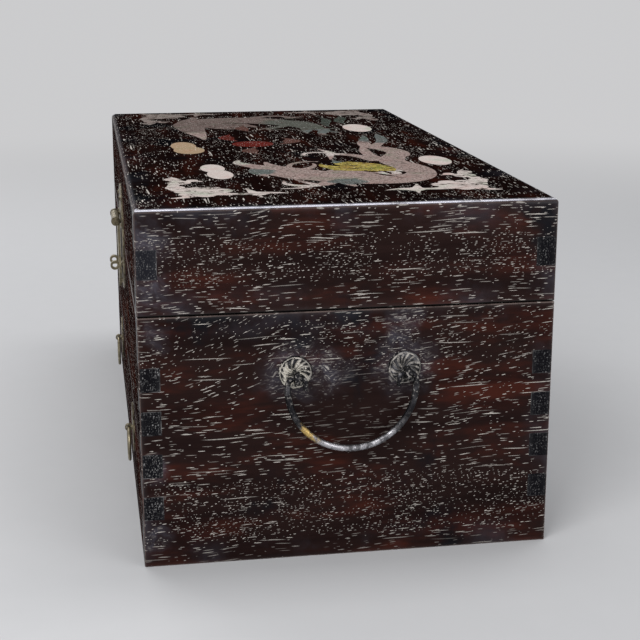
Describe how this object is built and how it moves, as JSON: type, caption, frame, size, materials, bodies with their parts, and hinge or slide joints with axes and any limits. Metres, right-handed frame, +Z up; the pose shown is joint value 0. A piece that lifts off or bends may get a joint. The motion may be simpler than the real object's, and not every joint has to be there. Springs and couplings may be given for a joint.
{
  "type": "mahjong case",
  "caption": "Finger-jointed hardwood case with a hinged lid over an open well, drawers in front, a round lock plate with hasp, bail handles on the ends and shell inlay on the lid",
  "frame": {"origin": "middle of the case's flat underside", "axes": "+X along the case to its right-hand end, -Y towards the front with the lock and drawers, +Z up"},
  "size_m": [0.4084, 0.2134, 0.1741],
  "materials": {
    "case_wood": "waxed hardwood with chalky open pores",
    "lid_wood": "waxed hardwood with chalky open pores",
    "inner_wood": "oiled hardwood",
    "drawer_wood": "plain planed wood",
    "aged_brass": "aged brass with dark patina",
    "handle_metal": "dark grey patina worn to bare metal",
    "rosette_metal": "grey patina with chalky dust in the flutes",
    "white_shell": "polished white mother-of-pearl",
    "pink_shell": "engraved pinkish mother-of-pearl",
    "grey_shell": "engraved grey-green mother-of-pearl",
    "yellow_shell": "engraved yellow shell",
    "rose_shell": "polished rose shell",
    "red_shell": "polished red shell"
  },
  "bodies": {
    "base": {"base_front": "case_wood", "base_back": "case_wood", "base_right_end": "case_wood", "base_left_end": "case_wood", "base_bottom": "inner_wood", "well_floor": "inner_wood", "drawer_partition": "inner_wood", "well_divider": "inner_wood", "drawer_guides": "inner_wood", "base_nails": "aged_brass", "lock_plate_lower": "aged_brass", "lock_staples": "aged_brass", "right_hinge_base_leaf": "aged_brass", "left_hinge_base_leaf": "aged_brass", "right_hinge_pin": "aged_brass", "left_hinge_pin": "aged_brass", "right_handle_rosettes": "rosette_metal", "left_handle_rosettes": "rosette_metal", "right_handle_posts": "handle_metal", "left_handle_posts": "handle_metal"},
    "lid": {"lid_top": "lid_wood", "lid_front": "case_wood", "lid_back": "case_wood", "lid_right_end": "case_wood", "lid_left_end": "case_wood", "lid_nails": "aged_brass", "lock_plate_upper": "aged_brass", "hasp_eyes": "aged_brass", "hasp_pin": "aged_brass", "right_hinge_lid_leaf": "aged_brass", "left_hinge_lid_leaf": "aged_brass", "inlay_right_dragon": "pink_shell", "inlay_left_dragon": "grey_shell", "inlay_manes": "yellow_shell", "inlay_sea_scrolls": "grey_shell", "inlay_clouds": "white_shell", "inlay_discs": "white_shell", "inlay_flames": "rose_shell", "inlay_pearl": "red_shell"},
    "hasp": {"hasp": "aged_brass"},
    "right_bail": {"right_bail": "handle_metal"},
    "left_bail": {"left_bail": "handle_metal"},
    "right_drawer": {"right_drawer_front": "case_wood", "right_drawer_left_side": "drawer_wood", "right_drawer_right_side": "drawer_wood", "right_drawer_back": "drawer_wood", "right_drawer_bottom": "drawer_wood", "right_drawer_pull_plate": "aged_brass", "right_drawer_pull_post": "aged_brass"},
    "left_drawer": {"left_drawer_front": "case_wood", "left_drawer_left_side": "drawer_wood", "left_drawer_right_side": "drawer_wood", "left_drawer_back": "drawer_wood", "left_drawer_bottom": "drawer_wood", "left_drawer_pull_plate": "aged_brass", "left_drawer_pull_post": "aged_brass"},
    "right_pull": {"right_drawer_pull_ring": "aged_brass"},
    "left_pull": {"left_drawer_pull_ring": "aged_brass"}
  },
  "joints": [
    {"name": "lid_hinge", "type": "hinge", "parent": "base", "child": "lid", "pos_m": [0, 0.1028, 0.1239], "axis": [-1, 0, 0], "range_deg": [0, 105]},
    {"name": "hasp_hinge", "type": "hinge", "parent": "lid", "child": "hasp", "pos_m": [0, -0.1041, 0.1352], "axis": [-1, 0, 0], "range_deg": [0, 150]},
    {"name": "right_bail_hinge", "type": "hinge", "parent": "base", "child": "right_bail", "pos_m": [0.2008, 0, 0.093], "axis": [0, -1, 0], "range_deg": [0, 180]},
    {"name": "left_bail_hinge", "type": "hinge", "parent": "base", "child": "left_bail", "pos_m": [-0.2008, 0, 0.093], "axis": [0, 1, 0], "range_deg": [0, 180]},
    {"name": "right_drawer_slide", "type": "slide", "parent": "base", "child": "right_drawer", "axis": [0, -1, 0], "range_m": [0, 0.14]},
    {"name": "left_drawer_slide", "type": "slide", "parent": "base", "child": "left_drawer", "axis": [0, -1, 0], "range_m": [0, 0.14]},
    {"name": "right_pull_hinge", "type": "hinge", "parent": "right_drawer", "child": "right_pull", "pos_m": [0.0925, -0.1029, 0.0364], "axis": [-1, 0, 0], "range_deg": [0, 180]},
    {"name": "left_pull_hinge", "type": "hinge", "parent": "left_drawer", "child": "left_pull", "pos_m": [-0.0925, -0.1029, 0.0364], "axis": [-1, 0, 0], "range_deg": [0, 180]}
  ]
}
